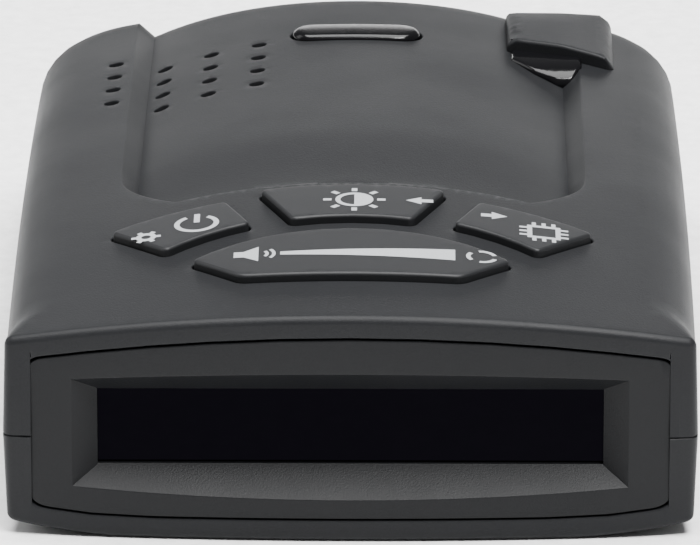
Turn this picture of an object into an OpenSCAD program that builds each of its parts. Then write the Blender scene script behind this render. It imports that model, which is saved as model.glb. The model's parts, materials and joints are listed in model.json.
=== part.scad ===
// Dash-mounted radar detector, 104 x 70 x 26 mm.
// +X is the driver's right, +Y points along the road from the display end,
// +Z is up, and the origin is the middle of the footprint on the base plane.

/* [Case] */
// Length from display end to horn end
case_l = 104; // [96:1:112]
// Half width at the middle of the sides
case_hw = 35.3; // [34.8:0.1:36]
// Height of the deck's centre line at its highest
crown_z = 25.8; // [25.5:0.1:26.5]
// Height of the parting line between the two shells
part_z = 10.6; // [10:0.1:11]
// Wall thickness of both shells
wall = 1.8; // [1.6:0.1:2]
// Radius of the long top edges
shoulder_r = 4.5; // [3.5:0.5:5]
// Radius of the edge around the display end
rim_r = 1.2; // [1:0.1:1.4]
// Radius of the two rear corners in plan
rear_corner_r = 10; // [9.5:0.5:10.5]

/* [Dome panel] */
// Half width of the sunken panel at deck level
panel_hw = 24.2; // [23.8:0.1:24.6]
// Width of the sloped wall around the panel
panel_wall = 1.7; // [1.3:0.1:2]
// Height of the panel over the deck's centre line
panel_rise = 0.5; // [0.3:0.1:0.7]
// Radius of the arc that ends the panel in front
panel_arc_r = 49; // [48:0.5:50]

/* [Display end] */
// Width of the shell's rim around the bezel
rim_w = 2.2; // [2:0.1:2.4]
// Width and height of the display window
window = [51, 8]; // [7:0.5:52]
// Width and height of the bevelled recess at the bezel's face
recess = [59.2, 13.8]; // [12:0.2:60]
// Depth of the bevelled recess
recess_depth = 3.6; // [3:0.1:4]
// Height of the middle of the window
window_z = 11.1; // [10.8:0.1:11.4]

/* [Keys] */
// Gap between a key and its opening
key_gap = 0.25; // [0.2:0.05:0.35]
// Height of a key's top over the deck
key_proud = 0.8; // [0.6:0.1:1]
// Travel of a key
key_travel = 0.5; // [0.3:0.1:0.6]
// Width of the flange that keeps a key in the case
key_flange = 0.8; // [0.6:0.1:1]

/* [Bracket release] */
// Length of the release button
pill_l = 14; // [12:0.5:16]
// Width of the release button
pill_w = 4.6; // [4.2:0.1:5]
// Distance of the release button from the middle of the case
pill_y = 34.5; // [34:0.25:35]
// Width of the slot for the windscreen bracket
slot_w = 20; // [18:1:22]
// Height of the slot for the windscreen bracket
slot_h = 2.6; // [2.4:0.1:2.8]

/* [Connectors] */
// Radius of the power jack's centre pin
jack_pin_r = 0.65; // [0.5:0.05:0.7]
// Radius of the power jack's barrel
jack_r = 1.95; // [1.8:0.05:2.1]

/* [Hidden] */

$fn = 48;

// --- Case surface -------------------------------------------------------------------------
front_y = -case_l / 2;
rear_y = case_l / 2;
front_bulge_r = 316;
rear_bulge_r = 600;
front_corner_y = front_y + case_hw * case_hw / (2 * front_bulge_r);
crown_r = 900;
crown_y = 8;
crown_k_front = 1 / 380;
crown_k_rear = 1 / 280;
draft = 0.03;

function clamp01(v) = min(1, max(0, v));
function smooth(v) = let (t = clamp01(v)) t * t * (3 - 2 * t);
function crown_k(y) = crown_k_front + (crown_k_rear - crown_k_front) * clamp01((y - front_y) / case_l);
function spine(y) = crown_z - pow(y - crown_y, 2) / (2 * crown_r);
function crown(x, y) = spine(y) - crown_k(y) * x * x;
function belly(x) = 0.0075 * pow(max(0, abs(x) - 20.5), 2) - 0.05;
function tray(x, d) = belly(x) + d;

// Height of the sunken dome panel, which meets the deck at its front arc
panel_arc_y = -14.4 - panel_arc_r;
function panel(x, y) =
    let (r = norm([x, y - panel_arc_y]) - panel_arc_r)
    spine(y) - 0.15 + (panel_rise + 0.15) * smooth(r / 16) - 0.00627 * x * x - 3.78e-6 * pow(x, 4)
    - rear_drop(y);
function rear_drop(y) =
    let (over = max(0, y - (rear_y - shoulder_r - 0.2)))
    shoulder_r - sqrt(max(0.2, shoulder_r * shoulder_r - over * over));

// Underside of the upper shell, thickened where the panel's walls run
function ceiling(x, y) =
    let (across = exp(-pow((abs(x) - panel_hw + 1) / 3.6, 2)), along = smooth((y + 24) / 5))
    crown(x, y) - wall - 1.75 * across * along;

// --- Outlines -----------------------------------------------------------------------------
function unit(v) = v / norm(v);
function left_of(v) = [-v.y, v.x];

// Points moved inwards by d, for a counter-clockwise outline
function inset(p, d) = [for (i = [0:len(p) - 1])
    let (a = p[(i + len(p) - 1) % len(p)], b = p[i], c = p[(i + 1) % len(p)],
         m = left_of(unit(b - a)), n = left_of(unit(c - b)))
    b + d * (m + n) / (1 + m * n)];

// One corner as an arc of radius r
function corner(a, b, c, r, n) =
    let (u = unit(a - b), v = unit(c - b), half = acos(max(-1, min(1, u * v))) / 2,
         mid = b + unit(u + v) * r / sin(half), from = b + u * r / tan(half),
         to = b + v * r / tan(half),
         a0 = atan2(from.y - mid.y, from.x - mid.x), a1 = atan2(to.y - mid.y, to.x - mid.x),
         turn = a1 - a0 > 180 ? a1 - a0 - 360 : a1 - a0 < -180 ? a1 - a0 + 360 : a1 - a0)
    [for (i = [0:n]) mid + r * [cos(a0 + turn * i / n), sin(a0 + turn * i / n)]];

// An outline whose corners with a radius above zero are rounded
function rounded(p, radii, n = 4) = [for (i = [0:len(p) - 1])
    each radii[i] > 0
        ? corner(p[(i + len(p) - 1) % len(p)], p[i], p[(i + 1) % len(p)], radii[i], n)
        : [p[i]]];

function arc(centre, r, a0, a1, n) =
    [for (i = [0:n]) centre + r * [cos(a0 + (a1 - a0) * i / n), sin(a0 + (a1 - a0) * i / n)]];

function mirrored(p) = [for (i = [len(p) - 1:-1:0]) [-p[i].x, p[i].y]];

// Plan of the case at the parting line, counter-clockwise
side_ys = [-40, -20, 0, 20];
function side_x(y) = case_hw - 0.45 * pow((y - 5) / 55, 2);
function half_plan() = concat(
    [for (x = [0:6:30]) [x, front_y + x * x / (2 * front_bulge_r)]],
    [[side_x(front_corner_y), front_corner_y]],
    [for (y = side_ys) [side_x(y), y]],
    [[side_x(rear_y), rear_y - 0.9]],
    [for (x = [14:-7:0]) [x, rear_y - x * x / (2 * rear_bulge_r)]]);
function half_radii(rim, rear) = concat([for (x = [0:6:30]) 0], [rim], [for (y = side_ys) 0],
    [rear], [for (x = [14:-7:0]) 0]);
function close_half(h) = concat(h, mirrored([for (i = [1:len(h) - 2]) h[i]]));
function close_radii(h) = concat(h, [for (i = [len(h) - 2:-1:1]) h[i]]);
function plan(d) = rounded(inset(close_half(half_plan()), d),
    close_radii(half_radii(max(0.4, rim_r - d), rear_corner_r - d)), 5);

// Radius of the top or bottom edge, small round the display end and full along the sides
function edge_r(y, small, full) = small + (full - small) * smooth((y - front_corner_y - 0.5) / 8);

// Lofted block between the parting plane and a surface, closed by rings of equal count;
// d is the distance inside the outer surface
fillet_steps = [0:22.5:90];
upper_scales = [0.94, 0.86, 0.78, 0.7, 0.62, 0.52, 0.36, 0.18];
function normals(p) = [for (i = [0:len(p) - 1])
    let (a = p[(i + len(p) - 1) % len(p)], b = p[i], c = p[(i + 1) % len(p)],
         m = left_of(unit(b - a)), n = left_of(unit(c - b)))
    (m + n) / (1 + m * n)];
function roof(x, y, d) = d > 0 ? ceiling(x, y) : crown(x, y);
function upper_ring(base, aim, d, q) = [for (i = [0:len(base) - 1])
    let (p = base[i], r = max(0.6, edge_r(p.y, rim_r, shoulder_r) - d),
         lean = draft * (crown(p.x, p.y) - d - r - part_z) + r * (1 - cos(q)),
         t = p + aim[i] * lean)
    [t.x, t.y, roof(t.x, t.y, d) - r * (1 - sin(q))]];

module lofted(rings, tip) {
    n = len(rings[0]);
    m = len(rings);
    sides = [for (j = [0:m - 2], i = [0:n - 1])
        let (a = j * n + i, b = j * n + (i + 1) % n)
        each [[a, a + n, b + n], [a, b + n, b]]];
    cap = [for (i = [0:n - 1]) [(m - 1) * n + i, m * n, (m - 1) * n + (i + 1) % n]];
    faces = concat([[for (i = [0:n - 1]) i]], sides, cap);
    polyhedron(concat([for (r = rings) each r], [tip]),
        faces, convexity = 6);
}

module upper_block(d) {
    base = plan(d);
    aim = normals(base);
    last = upper_ring(base, aim, d, 90);
    start = part_z - (d > 0 ? 0.5 : 0);
    lofted(concat([[for (p = base) [p.x, p.y, start]]],
        [for (q = fillet_steps) upper_ring(base, aim, d, q)],
        [for (f = upper_scales) [for (p = last) [p.x * f, p.y * f, roof(p.x * f, p.y * f, d)]]]),
        [0, 0, roof(0, 0, d)]);
}

// The tray below the parting plane: the plan and the end view, each extruded and crossed
module lower_block(d) {
    foot_x = case_hw - d - draft * part_z;
    xs = [28, 24, 20.5];
    low = [for (x = xs) [x, tray(x, d)]];
    side = rounded([[case_hw - d, part_z + 2], [case_hw - d, part_z], [foot_x, tray(foot_x, d)],
        low[0]], [0, 0, lower_edge_r - d / 2, 0], 5);
    half = concat([for (i = [len(low) - 1:-1:0]) low[i]], [for (i = [len(side) - 2:-1:0]) side[i]]);
    intersection() {
        prism(plan(d), -1, part_z + (d > 0 ? 0.5 : 0));
        translate([0, 60, 0]) rotate([90, 0, 0]) linear_extrude(120) polygon(concat(half,
            mirrored(half)));
    }
}

// --- Shared places ------------------------------------------------------------------------
lower_edge_r = 2.4;
front_wall = 2.6;
groove_end = 7.3;
post_r = 3.6;
boss_r = 2.2;
boss_root = 0.35;
post_places = [[30.3, -34], [-30.3, -34], [27.5, 41], [-27.5, 41]];
screw_seat_z = 5.5;
screw_r = 1.1;
screw_head_r = 2.1;
screw_head_h = 1.5;
screw_end_z = 16.5;
screw_hole_r = 0.95;
board_z = 8.4;
board_t = 1.6;
board_top = board_z + board_t;
standoff_places = [[21.6, -35.4], [-21.6, -35.4], [21.6, -1.8], [-21.6, -1.8]];
key_board_z = 15.4;
key_board_t = 1.2;
switch_top = 19.7;
stem_top = switch_top + key_travel + 0.3;
stem_r = 1.65;
stem_gap = 0.1;
key_stakes = [[20.5, -38.6], [-20.5, -38.6], [14.8, -16.2], [-14.8, -16.2]];
gps_z = 16.2;
gps_stakes = [[10.4, 9.2], [-10.4, 9.2], [10.4, -9.2], [-10.4, -9.2]];
speaker_at = [-18.3, 23];
speaker_r = 11.5;
speaker_top = 19.2;
hole_cols = [[-26.2, 24.4], [-20.85, 24.7], [-15.8, 24.8], [-10.6, 25.2]];
hole_pitch = 4.8;
hole_r = 0.8;
horn_x = -5;
slot_z = 17.6;
guide_y = 37.5;
guide_end = 49;
latch_travel = 1.2;
hood_x = [16.5, 28.2];
lens_pts = [[16.9, 31.2], [19.4, 28.5], [21.8, 27.4], [23.6, 27.4], [24.6, 29.6], [24.6, 34.4],
    [16.9, 34.4]];
root = 0.6;
front_lens = [15, 24];
front_lens_z = [11.7, 16.1];
jack_y = -8.5;
jack_z = 5.75;
snout_r = 2.6;
jack_floor_x = 26.6;
pin_collar_r = 0.9;
usb_y = -20;
label = [40, 26];
label_y = 1;
label_top = 0.35;

// --- Key outlines, counter-clockwise -------------------------------------------------------
key_arc_y = -51.9;
key_round = 0.9;
mode_pts = concat(arc([0, key_arc_y], 26.1, 67.3, 43.6, 4), arc([0, panel_arc_y], 44.4, 55.5, 73.1, 4));
brightness_pts = concat(arc([0, key_arc_y], 25.4, 104.4, 75.6, 4),
    arc([0, panel_arc_y], 46.3, 77.55, 102.45, 4));
volume_pts = concat([[-11.2, -42.2], [11.2, -42.2]], arc([0, key_arc_y], 22.3, 42.1, 137.9, 8));
ten_radii = [key_round, 0, 0, 0, key_round, key_round, 0, 0, 0, key_round];
volume_radii = [2, 2, key_round, 0, 0, 0, 0, 0, 0, 0, key_round];
function key_outline(name, d) =
    name == "mode" ? rounded(inset(mode_pts, d), ten_radii)
    : name == "power" ? rounded(inset(mirrored(mode_pts), d), ten_radii)
    : name == "brightness" ? rounded(inset(brightness_pts, d), ten_radii)
    : rounded(inset(volume_pts, d), volume_radii);
function key_at(name) = name == "mode" ? [17, -27.6] : name == "power" ? [-17, -27.6]
    : name == "brightness" ? [0, -22.2] : [0, -36.7];
function key_span(name) = name == "mode" ? [8, 27] : name == "power" ? [-27, -8]
    : name == "brightness" ? [-12, 12] : [-19, 19];
key_names = ["power", "brightness", "mode", "volume"];

// Layer that follows the deck around the keys, from lift - depth to lift above its surface
key_crown_k = 0.00285;
flange_top = -2.1;
flange_t = 0.8;
module crown_layer(lift, depth, span) {
    steps = 8;
    xs = [for (i = [0:steps]) span[0] + (span[1] - span[0]) * i / steps];
    top = [for (x = xs) [crown_r + lift - key_crown_k * x * x, x]];
    low = [for (i = [steps:-1:0]) top[i] - [depth, 0]];
    translate([0, crown_y, crown_z - crown_r]) rotate([90, 0, 90]) rotate([0, 0, 91])
        rotate_extrude(angle = 3.4, $fn = 360) polygon(concat(low, top));
}

module prism(pts, z0, z1) {
    translate([0, 0, z0]) linear_extrude(z1 - z0) polygon(pts);
}

module block(a, b) {
    translate(a) cube(b - a);
}

module rod(at, r, z0, z1) {
    translate([at.x, at.y, z0]) cylinder(r = r, h = z1 - z0);
}

module tube(at, outer, inner, z0, z1) {
    difference() {
        rod(at, outer, z0, z1);
        rod(at, inner, z0 - 1, z1 + 1);
    }
}

// --- Display end --------------------------------------------------------------------------
// Outline of the display end seen from the front, d inside the case's outer edge
function rim_outline(d) =
    let (hw = case_hw - 0.4, xs = [hw - d - 0.4, 22, 11, 0, -11, -22, -hw + d + 0.4],
         top = [for (x = xs) [x, crown(x, front_y) - d]],
         low = [for (x = xs) [-x, belly(x) + max(0, d)]],
         waist = hw - d)
    rounded(concat(top, [[-waist, part_z + 1], [-waist, part_z - 1]], low,
            [[waist, part_z - 1], [waist, part_z + 1]]),
        [1.9, 0, 0, 0, 0, 0, 1.9, 0, 0, 2.2, 0, 0, 0, 0, 0, 2.2, 0, 0]);
module rim_prism(d, y0, y1) {
    translate([0, y1, 0]) rotate([90, 0, 0]) linear_extrude(y1 - y0) polygon(rim_outline(d));
}
module bulge(back) {
    translate([0, front_y + front_bulge_r + back, -1]) cylinder(r = front_bulge_r, h = 40, $fn = 360);
}

// --- Panel recess -------------------------------------------------------------------------
// Space over the sunken panel: its floor is a grid of rows along the case
recess_rows = [-14.05, -11, -7, -2, 6, 16, 28, 38, 44, 47.5, 49.5, 51, 56];
recess_cols = [for (i = [-7:7]) i / 7];
function foot_hw(y) = panel_hw - panel_wall - 4.2 * pow(max(0, (-6 - y) / 8.05), 2);
function arc_sag(x) = sqrt(panel_arc_r * panel_arc_r - x * x) - panel_arc_r;
function recess_point(row, u) =
    let (x = u * foot_hw(row), y = row + arc_sag(x) * clamp01((20 - row) / 34)) [x, y, panel(x, y)];
module panel_recess() {
    rows = len(recess_rows);
    cols = len(recess_cols);
    grid = [for (row = recess_rows, u = recess_cols) recess_point(row, u)];
    rim = concat([for (i = [0:cols - 1]) i], [for (j = [1:rows - 1]) j * cols + cols - 1],
        [for (i = [cols - 2:-1:0]) (rows - 1) * cols + i], [for (j = [rows - 2:-1:1]) j * cols]);
    loop = [for (i = rim) [grid[i].x, grid[i].y]];
    out = normals(loop);
    n = len(rim);
    wide = [for (i = [0:n - 1])
        loop[i] - out[i] * (0.35 + (panel_wall - 0.35) * smooth((loop[i].y + 17) / 9))];
    first = rows * cols;
    points = concat(grid, [for (p = wide) [p.x, p.y, max(crown(p.x, p.y), panel(p.x, p.y)) + 0.05]],
        [for (p = wide) [p.x, p.y, 32]]);
    floor_faces = [for (j = [0:rows - 2], i = [0:cols - 2])
        let (a = j * cols + i) each [[a, a + cols, a + cols + 1], [a, a + cols + 1, a + 1]]];
    walls = [for (i = [0:n - 1])
        let (k = (i + 1) % n, a = first + i, b = first + k)
        each [[rim[i], rim[k], b], [rim[i], b, a], [a, b, b + n], [a, b + n, a + n]]];
    lid = [for (i = [0:n - 1]) first + n + i];
    polyhedron(points, [for (f = concat(floor_faces, walls, [lid])) [for (i = [len(f) - 1:-1:0]) f[i]]],
        convexity = 6);
}

// --- Hood of the rear laser sensor ------------------------------------------------------------
module hood_shape(d) {
    x0 = hood_x[0] + d;
    x1 = hood_x[1] - d;
    section = rounded([[x0, 17], [x1, 17], [x1 - 0.2, 22.4 - d], [x1 - 1.1, 24.5 - d], [22.4, 25.3 - d],
        [x0 + 0.6, 25.52 - d], [x0, 24.5 - d]], [0, 0, 0, 0.9, 0, 0.6, 0.4]);
    long = [[30, 17], [48.2, 17], [47.4, 23], [45.6, 24.85 - d], [41, 25.6 - d], [36, 26 - d],
        [30, 26 - d]];
    intersection() {
        translate([0, 60, 0]) rotate([90, 0, 0]) linear_extrude(60) polygon(section);
        rotate([90, 0, 90]) linear_extrude(60) polygon(long);
        prism([[x0, 34.2], [hood_x[1], 30.4], [hood_x[1] + 1, 49], [x0, 49]], 10, 30);
    }
}

// --- Shells ---------------------------------------------------------------------------------
module hole_cuts() {
    for (col = hole_cols, i = [-1.5:1:1.5]) rod([col.x, col.y + i * hole_pitch], hole_r, 17, 30);
}
module button_cuts() {
    for (name = key_names) prism(key_outline(name, 0), 15, 30);
    prism(pill(key_gap), 15, 30);
}
function pill(grow) =
    let (r = pill_w / 2 + grow, s = pill_l / 2 - pill_w / 2)
    concat(arc([s, pill_y], r, -90, 90, 8), arc([-s, pill_y], r, 90, 270, 8));

// Room under the deck for a key's flange, with the key's gap all round
module flange_room(name) {
    intersection() {
        prism(key_outline(name, -key_flange - key_gap), 15, 30);
        crown_layer(flange_top + key_gap, 2.4, key_span(name));
    }
}

// Everything that hangs inside the upper shell
module upper_inside() {
    for (p = post_places) rod(p, boss_r, part_z, ceiling(p.x, p.y) + boss_root);
    for (p = key_stakes) rod(p, 1, key_board_z - 0.4, ceiling(p.x, p.y) + root);
    for (p = gps_stakes) rod(p, 0.9, gps_z - 0.4, ceiling(p.x, p.y) + root);
    for (s = [-1, 1]) block([s * 9.7 - 0.8, 39, 21.3], [s * 9.7 + 0.8, 48.5, ceiling(10, 48) + root]);
    intersection() {
        tube(speaker_at, speaker_r, speaker_r - 1, speaker_top + 0.7, 26);
        translate([0, 45, 0]) rotate([90, 0, 0]) linear_extrude(45)
            polygon(concat([[-5, 15], [-32, 15]], [for (x = [-32:3:-5]) [x, ceiling(x, 32) + root]]));
    }
}

// The moulded top shell, held to the case's width
module upper_shell() {
    resize([2 * case_hw, 0, 0]) difference() {
        union() {
            difference() {
                union() {
                    upper_block(0);
                    block([-11, -11.5, 24.2], [11, 51, 27]);
                    hood_shape(0);
                }
                upper_cavity();
                panel_sink();
            }
            upper_inside($fn = 20);
        }
        rim_prism(rim_w, front_y - 1, front_y + 6);
        rim_prism(1.3, front_y + front_wall + 2, front_y + groove_end);
        button_cuts();
        hole_cuts($fn = 14);
        for (name = key_names) flange_room(name);
        prism(inset(lens_pts, -0.2), 17, 24.5);
        block([17.9, 34, 17], [23.5, 38.2, 23.2]);
        block([slot_w / -2 - 0.3, 46, slot_z - 0.2], [slot_w / 2 + 0.3, 54, slot_z + slot_h + 0.2]);
        block([front_lens[0] - 0.15, 46, front_lens_z[0] - 0.15],
            [front_lens[1] + 0.15, 54, front_lens_z[1] + 0.15]);
        for (p = post_places) rod(p, screw_hole_r, 9, screw_end_z + 1.5, $fn = 20);
    }
}
module upper_case() {
    color([0.2, 0.205, 0.215]) upper_shell();
}
// Keeps the inside clear of the solid block behind the display end
module inner_length() {
    block([-60, front_y + 5.4, -1], [60, 60, 40]);
}
module upper_cavity() {
    intersection() {
        upper_block(wall);
        inner_length();
    }
}
module panel_sink() {
    difference() {
        panel_recess();
        hood_shape(0);
    }
}

module lower_case() {
    color([0.13, 0.135, 0.14]) difference() {
        union() {
            difference() {
                lower_block(0);
                intersection() {
                    lower_block(wall);
                    inner_length();
                }
            }
            for (p = post_places) rod(p, post_r, 1.7, part_z);
            for (p = standoff_places) rod(p, 2.4, 0.9, board_z);
        }
        rim_prism(rim_w, front_y - 1, front_y + 6);
        rim_prism(1.3, front_y + front_wall + 2, front_y + groove_end);
        block([32, usb_y - 4.1, 5.3], [38, usb_y + 4.1, 8.7]);
        block([-60, -60, -3], [60, 60, 0]);
        translate([0, label_y, -1]) linear_extrude(label_top + 1) square(label + [0.4, 0.4], center = true);
        for (p = post_places) {
            rod(p, 2.5, -1, screw_seat_z);
            rod(p, 1.3, 0, 12);
        }
        for (p = standoff_places) rod(p, 0.8, 3, 12);
        along_x(jack_y, jack_z, snout_r + 0.15, 30, 38);
    }
}

// --- Display --------------------------------------------------------------------------------
window_y = front_y + recess_depth;
pane_y = window_y + 0.5;
display_y = -44.6;
display_board_t = 1.2;
holder_y = display_y + display_board_t;
holder_t = 1;
flex_t = 0.3;
flex_bend_y = -41.8;
flex_z = 4.1;
flex_hw = 8;
module display_bezel() {
    z = window_z;
    lean = [(recess.x - window.x) / 2, (recess.y - window.y) / 2] / recess_depth;
    function frame_at(y) =
        let (out = window_y - y, hw = window.x / 2 + lean.x * out, hh = window.y / 2 + lean.y * out)
        [[-hw, y, z - hh], [hw, y, z - hh], [hw, y, z + hh], [-hw, y, z + hh]];
    color([0.09, 0.095, 0.1]) difference() {
        intersection() {
            union() {
                rim_prism(rim_w + 0.2, front_y - 1, window_y + 1.2);
                rim_prism(1.6, front_y + front_wall + 2.1, front_y + front_wall + 3.2);
            }
            bulge(0.3);
        }
        polyhedron(concat(frame_at(front_y - 2), frame_at(window_y)),
            [[3, 2, 1, 0], [4, 5, 6, 7], [0, 1, 5, 4], [1, 2, 6, 5], [2, 3, 7, 6], [3, 0, 4, 7]]);
        block([window.x / -2, -51, z - window.y / 2], [window.x / 2, -40, z + window.y / 2]);
        block([-27, pane_y, z - 5.5], [27, -40, z + 5.5]);
    }
}
module display_window() {
    color([0.02, 0.02, 0.025])
        block([-26.8, pane_y, window_z - 5.3], [26.8, pane_y + 1.2, window_z + 5.3]);
}
module display_module() {
    color([0.12, 0.3, 0.16]) block([-28, display_y, 4.6], [28, holder_y, 17.6]);
    color([0.05, 0.05, 0.05])
        block([window.x / -2, display_y - 1.8, window_z - 4], [window.x / 2, display_y, window_z + 4]);
}
module display_holder() {
    color([0.85, 0.85, 0.83]) {
        difference() {
            block([-29, holder_y, 4.6], [29, holder_y + holder_t, 18.2]);
            block([-22, -45, 7], [22, -40, 16]);
        }
        for (s = [-1, 1])
            block([s * 25.2 - 1.2, holder_y + holder_t, board_top], [s * 25.2 + 1.2, -39, 12]);
    }
}
module display_flex() {
    color([0.75, 0.5, 0.15]) {
        block([-flex_hw, display_y, flex_z], [flex_hw, flex_bend_y, flex_z + flex_t]);
        block([-flex_hw, flex_bend_y - flex_t, flex_z], [flex_hw, flex_bend_y, board_z]);
        block([-flex_hw, flex_bend_y - flex_t, board_z - flex_t], [flex_hw, -37, board_z]);
    }
}

// --- Keys -----------------------------------------------------------------------------------
module key(name) {
    span = key_span(name);
    color([0.23, 0.235, 0.245]) {
        intersection() {
            prism(key_outline(name, key_gap), 15, 30);
            crown_layer(key_proud, key_proud - flange_top + flange_t, span);
        }
        intersection() {
            prism(key_outline(name, -key_flange), 15, 30);
            crown_layer(flange_top, flange_t, span);
        }
        intersection() {
            rod(key_at(name), 1.5, stem_top, 24);
            crown_layer(-2.4, 4, span);
        }
    }
}
module power_key() key("power");
module brightness_key() key("brightness");
module mode_key() key("mode");
module volume_key() key("volume");
module switch_stem(name) {
    color([0.9, 0.9, 0.88]) rod(key_at(name), stem_r, 18.2, stem_top);
}
module power_switch_stem() switch_stem("power");
module brightness_switch_stem() switch_stem("brightness");
module mode_switch_stem() switch_stem("mode");
module volume_switch_stem() switch_stem("volume");
module key_switch_bodies() {
    color([0.08, 0.08, 0.08]) for (name = key_names) let (p = key_at(name)) difference() {
        block([p.x - 3, p.y - 3, key_board_z + key_board_t], [p.x + 3, p.y + 3, switch_top]);
        rod(p, stem_r + stem_gap, 17.4, 25);
    }
}
module key_board() {
    color([0.1, 0.35, 0.2]) difference() {
        prism([[-23, -40.6], [23, -40.6], [23, -30], [17.5, -14.4], [-17.5, -14.4], [-23, -30]],
            key_board_z, key_board_z + key_board_t);
        for (p = key_stakes) rod(p, 1, 10, 20);
    }
}
module key_flex() {
    color([0.75, 0.5, 0.15]) block([3, -14.4, board_top], [11, -14.1, key_board_z + key_board_t]);
}

// --- Bracket release ------------------------------------------------------------------------
module release_button() {
    color([0.03, 0.03, 0.035]) {
        prism(pill(0), 22.2, 26.5);
        block([-8, 31.6, 22.2], [8, 37.1, 23]);
    }
}
module bracket_latch() {
    color([0.8, 0.8, 0.78]) {
        block([-4, 33.4, 14.9], [4, 35.6, 22.2]);
        block([-4, 33.4, 14.9], [4, 43.4, 16]);
        block([-2, 40.6, 15.5], [2, 42.8, slot_z + latch_travel]);
    }
}
spring_r = 1.25;
spring_wire = 0.2;
spring_z = [15, 22.2];
spring_turns = 5;
spring_x = 6.1;
module coil(at) {
    steps = spring_turns * 9;
    sides = 5;
    z0 = spring_z[0] + spring_wire;
    rise = spring_z[1] - spring_z[0] - 2 * spring_wire;
    points = [for (i = [0:steps], k = [0:sides - 1])
        let (t = 360 * spring_turns * i / steps, q = 360 * k / sides, r = spring_r + spring_wire * cos(q))
        [at.x + r * cos(t), at.y + r * sin(t), z0 + rise * i / steps + spring_wire * sin(q)]];
    skin = [for (i = [0:steps - 1], k = [0:sides - 1])
        let (a = i * sides + k, b = i * sides + (k + 1) % sides)
        each [[a, a + sides, b + sides], [a, b + sides, b]]];
    polyhedron(points, concat(skin, [[for (k = [0:sides - 1]) k]],
        [[for (k = [sides - 1:-1:0]) steps * sides + k]]), convexity = 8);
}
module release_spring() {
    color([0.75, 0.76, 0.78]) for (s = [-1, 1]) coil([s * spring_x, pill_y]);
}
module bracket_guide() {
    color([0.1, 0.1, 0.1]) {
        difference() {
            block([-11.5, guide_y, 16.3], [11.5, guide_end, 21.3]);
            block([slot_w / -2, guide_y + 1.5, slot_z], [slot_w / 2, rear_y, slot_z + slot_h]);
            block([-2.4, 40.2, 15], [2.4, 43.2, slot_z + 1]);
        }
        for (s = [-1, 1]) {
            block([s * spring_x - 1.7, 32.4, 14], [s * spring_x + 1.7, guide_y + 1.5, 15]);
            block([s * spring_x - 1.7, guide_y, 14], [s * spring_x + 1.7, guide_y + 1.5, 17]);
        }
    }
}

// --- Laser sensors ---------------------------------------------------------------------------
module rear_laser_lens() {
    slope = [[26, 17], [40, 17], [40, 24.2], [31.4, 24.2], [28.6, 23.7], [27.2, 22.4]];
    color([0.02, 0.02, 0.02]) intersection() {
        prism(lens_pts, 19.4, 24.2);
        rotate([90, 0, 90]) linear_extrude(40) polygon(slope);
    }
}
module rear_laser_sensor() {
    color([0.1, 0.3, 0.18]) block([17.4, 34.6, 17.6], [24, 43.6, 18.6]);
    color([0.1, 0.1, 0.12]) block([18.4, 34.8, 18.6], [23, 37.6, 22.6]);
}
module front_laser_lens() {
    x = front_lens;
    z = front_lens_z;
    color([0.05, 0.02, 0.03]) {
        block([x[0], 49.2, z[0]], [x[1], 51.4, z[1]]);
        block([x[0] - 0.7, 48.4, z[0] - 0.7], [x[1] + 0.7, 49.3, z[1] + 0.7]);
    }
}
module front_laser_sensor() {
    color([0.1, 0.1, 0.12]) block([17.4, 45.4, 12.2], [21.6, 48.2, 15.8]);
    color([0.1, 0.3, 0.18]) block([15.4, 44.2, 11], [23.6, 45.4, 16.8]);
}

// --- Main board ------------------------------------------------------------------------------
module main_board() {
    color([0.1, 0.35, 0.2]) difference() {
        prism([[-26.4, -41.6], [26.4, -41.6], [26.4, -27], [32.4, -27], [32.4, 1], [26.4, 3.5],
            [-26.4, 3.5]], board_z, board_top);
        for (p = standoff_places) rod(p, 1.1, 0, 20);
    }
}
module processor_chip() {
    color([0.06, 0.06, 0.06]) block([-13, -29, board_top], [1, -15, board_top + 1.4]);
}
module support_chips() {
    color([0.06, 0.06, 0.06]) {
        block([-21, -26, board_top], [-16, -20, board_top + 1.2]);
        block([-21, -16, board_top], [-15, -12, board_top + 1.2]);
        block([-3, -10, board_top], [3, -5, board_top + 1.2]);
        block([-14, -8, board_top], [-8, -2, board_top + 1.5]);
    }
}
module capacitors() {
    color([0.15, 0.2, 0.4]) for (p = [[19, -8], [12, -8], [-21, -8.2]]) rod(p, 2.9, board_top, board_top + 5);
}
module crystal() {
    color([0.8, 0.8, 0.8]) block([4, -27, board_top], [8.5, -16, board_top + 3]);
}
module backup_battery() {
    color([0.8, 0.8, 0.78]) rod([15.5, -26], 5, board_top, board_top + 2.6);
}

// --- Radar receiver --------------------------------------------------------------------------
guide_z = [3, 10.9];
module horn_antenna() {
    function mouth(y, hw, z0, z1) =
        [[horn_x - hw, y, z0], [horn_x + hw, y, z0], [horn_x + hw, y, z1], [horn_x - hw, y, z1]];
    faces = [[3, 2, 1, 0], [4, 5, 6, 7], [0, 1, 5, 4], [1, 2, 6, 5], [2, 3, 7, 6], [3, 0, 4, 7]];
    color([0.72, 0.72, 0.74]) difference() {
        union() {
            block([horn_x - 6, 5, guide_z[0]], [horn_x + 6, 20, guide_z[1]]);
            polyhedron(concat(mouth(20, 6, guide_z[0], guide_z[1]), mouth(48, 17, 2.6, 13)), faces);
        }
        block([horn_x - 4.5, 7, guide_z[0] + 1.5], [horn_x + 4.5, 21, guide_z[1] - 1.5]);
        polyhedron(concat(mouth(20, 4.5, guide_z[0] + 1.5, guide_z[1] - 1.5), mouth(48.5, 16, 3.6, 12)),
            faces);
    }
    for (s = [-1, 1]) color([0.72, 0.72, 0.74])
        block([horn_x + s * 8 - 2.5, 8, 1.8], [horn_x + s * 8 + 2.5, 18, guide_z[0] + 1.2]);
}
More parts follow.
